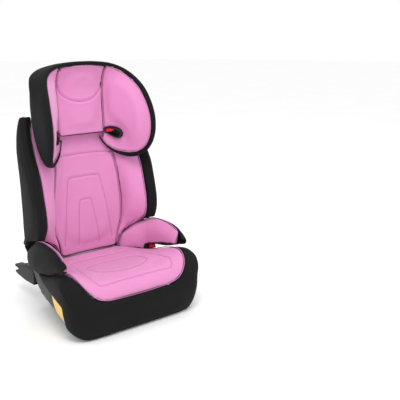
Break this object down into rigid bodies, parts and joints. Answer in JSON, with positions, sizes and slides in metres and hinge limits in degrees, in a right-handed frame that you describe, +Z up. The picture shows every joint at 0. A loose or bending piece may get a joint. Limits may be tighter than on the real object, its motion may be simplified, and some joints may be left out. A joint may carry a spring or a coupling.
{
  "type": "high-back booster seat",
  "caption": "High-back child booster seat with armrests, reclining winged backrest, height-adjustable headrest, red belt guides and sliding rigid anchor connectors.",
  "frame": {"origin": "on the flat underside of the base, on the plane of symmetry, below the middle of the seat", "axes": "+Z up, -Y towards the front of the seat, +X towards the right of the seat as it is seen from the front"},
  "size_m": [0.4574, 0.4856, 0.7234],
  "materials": {
    "pink_fabric": "smooth knitted jersey over wadding, soft sheen",
    "black_fabric": "matt knitted fabric",
    "dark_plastic": "fine moulded texture",
    "grey_plastic": "fine moulded texture",
    "expanded_foam": "expanded bead foam",
    "red_plastic": "smooth moulded plastic",
    "yellow_label": "plain sticker",
    "zinc_steel": "zinc plated"
  },
  "bodies": {
    "base": {"base_shell": "dark_plastic", "base_tray": "grey_plastic", "base_skirt": "black_fabric", "seat_pad": "pink_fabric", "seat_foam": "expanded_foam", "side_label": "yellow_label", "base_rear_deck": "grey_plastic", "armrest_pad_right": "pink_fabric", "armrest_pad_left": "pink_fabric", "armrest_cover_right": "black_fabric", "armrest_cover_left": "black_fabric", "armrest_core_right": "dark_plastic", "armrest_core_left": "dark_plastic", "lap_belt_guide_right": "red_plastic", "lap_belt_guide_left": "red_plastic", "anchor_guide_right": "grey_plastic", "anchor_guide_left": "grey_plastic"},
    "anchor_frame": {"anchor_arm_right": "zinc_steel", "anchor_arm_left": "zinc_steel", "anchor_crossbar": "zinc_steel", "connector_housing_right": "dark_plastic", "connector_housing_left": "dark_plastic"},
    "anchor_release": {"anchor_release_bar": "red_plastic"},
    "connector_button_right": {"connector_button_right": "grey_plastic"},
    "connector_button_left": {"connector_button_left": "grey_plastic"},
    "connector_jaw_right": {"connector_jaw_right": "zinc_steel"},
    "connector_jaw_left": {"connector_jaw_left": "zinc_steel"},
    "backrest_mount": {"hinge_axle": "zinc_steel"},
    "backrest": {"back_shell": "dark_plastic", "back_centre_pad": "pink_fabric", "back_wing_pad_right": "pink_fabric", "back_wing_pad_left": "pink_fabric", "back_wing_foam_right": "expanded_foam", "back_wing_foam_left": "expanded_foam", "back_cover_right": "black_fabric", "back_cover_left": "black_fabric", "height_rack": "grey_plastic", "hinge_hook_right": "dark_plastic", "hinge_hook_left": "dark_plastic"},
    "headrest": {"head_centre_pad": "pink_fabric", "head_wing_pad_right": "pink_fabric", "head_wing_pad_left": "pink_fabric", "head_wing_foam_right": "expanded_foam", "head_wing_foam_left": "expanded_foam", "head_cover": "black_fabric", "head_shell": "dark_plastic", "shoulder_belt_guide_right": "red_plastic", "shoulder_belt_guide_left": "red_plastic", "headrest_carriage": "dark_plastic"},
    "headrest_lock": {"headrest_lock_bar": "zinc_steel"},
    "headrest_handle": {"headrest_handle": "red_plastic"}
  },
  "joints": [
    {"name": "anchor_slide", "type": "slide", "parent": "base", "child": "anchor_frame", "axis": [0, -1, 0], "range_m": [0, 0.08]},
    {"name": "anchor_release_pull", "type": "slide", "parent": "anchor_frame", "child": "anchor_release", "axis": [0, 1, 0], "range_m": [0, 0.008], "stiffness_N_per_m": 800, "springref_m": -0.002},
    {"name": "backrest_lift_off", "type": "slide", "parent": "base", "child": "backrest_mount", "axis": [0, 0, 1], "range_m": [0, 0.15]},
    {"name": "backrest_recline", "type": "hinge", "parent": "backrest_mount", "child": "backrest", "pos_m": [0, 0.109, 0.122], "axis": [-1, 0, 0], "range_deg": [0, 15]},
    {"name": "headrest_height", "type": "slide", "parent": "backrest", "child": "headrest", "axis": [0, 0.1289, 0.9917], "range_m": [0, 0.1]},
    {"name": "headrest_handle_squeeze", "type": "slide", "parent": "headrest", "child": "headrest_handle", "axis": [0, 0.1289, 0.9917], "range_m": [0, 0.006], "stiffness_N_per_m": 900, "springref_m": -0.003},
    {"name": "headrest_lock_release", "type": "slide", "parent": "headrest", "child": "headrest_lock", "axis": [0, 1, 0], "range_m": [0, 0.006]},
    {"name": "connector_button_right_slide", "type": "slide", "parent": "anchor_frame", "child": "connector_button_right", "axis": [0, 1, 0], "range_m": [0, 0.008], "stiffness_N_per_m": 400, "springref_m": -0.002},
    {"name": "connector_jaw_right_swing", "type": "hinge", "parent": "anchor_frame", "child": "connector_jaw_right", "pos_m": [0.14, 0.226, 0.078], "axis": [-1, 0, 0], "range_deg": [0, 25]},
    {"name": "connector_button_left_slide", "type": "slide", "parent": "anchor_frame", "child": "connector_button_left", "axis": [0, 1, 0], "range_m": [0, 0.008], "stiffness_N_per_m": 400, "springref_m": -0.002},
    {"name": "connector_jaw_left_swing", "type": "hinge", "parent": "anchor_frame", "child": "connector_jaw_left", "pos_m": [-0.14, 0.226, 0.078], "axis": [-1, 0, 0], "range_deg": [0, 25]}
  ],
  "couplings": [
    {"joint": "headrest_lock_release", "follows": "headrest_handle_squeeze", "ratio": 1},
    {"joint": "connector_jaw_right_swing", "follows": "connector_button_right_slide", "rad_per_m": 54},
    {"joint": "connector_jaw_left_swing", "follows": "connector_button_left_slide", "rad_per_m": 54}
  ]
}
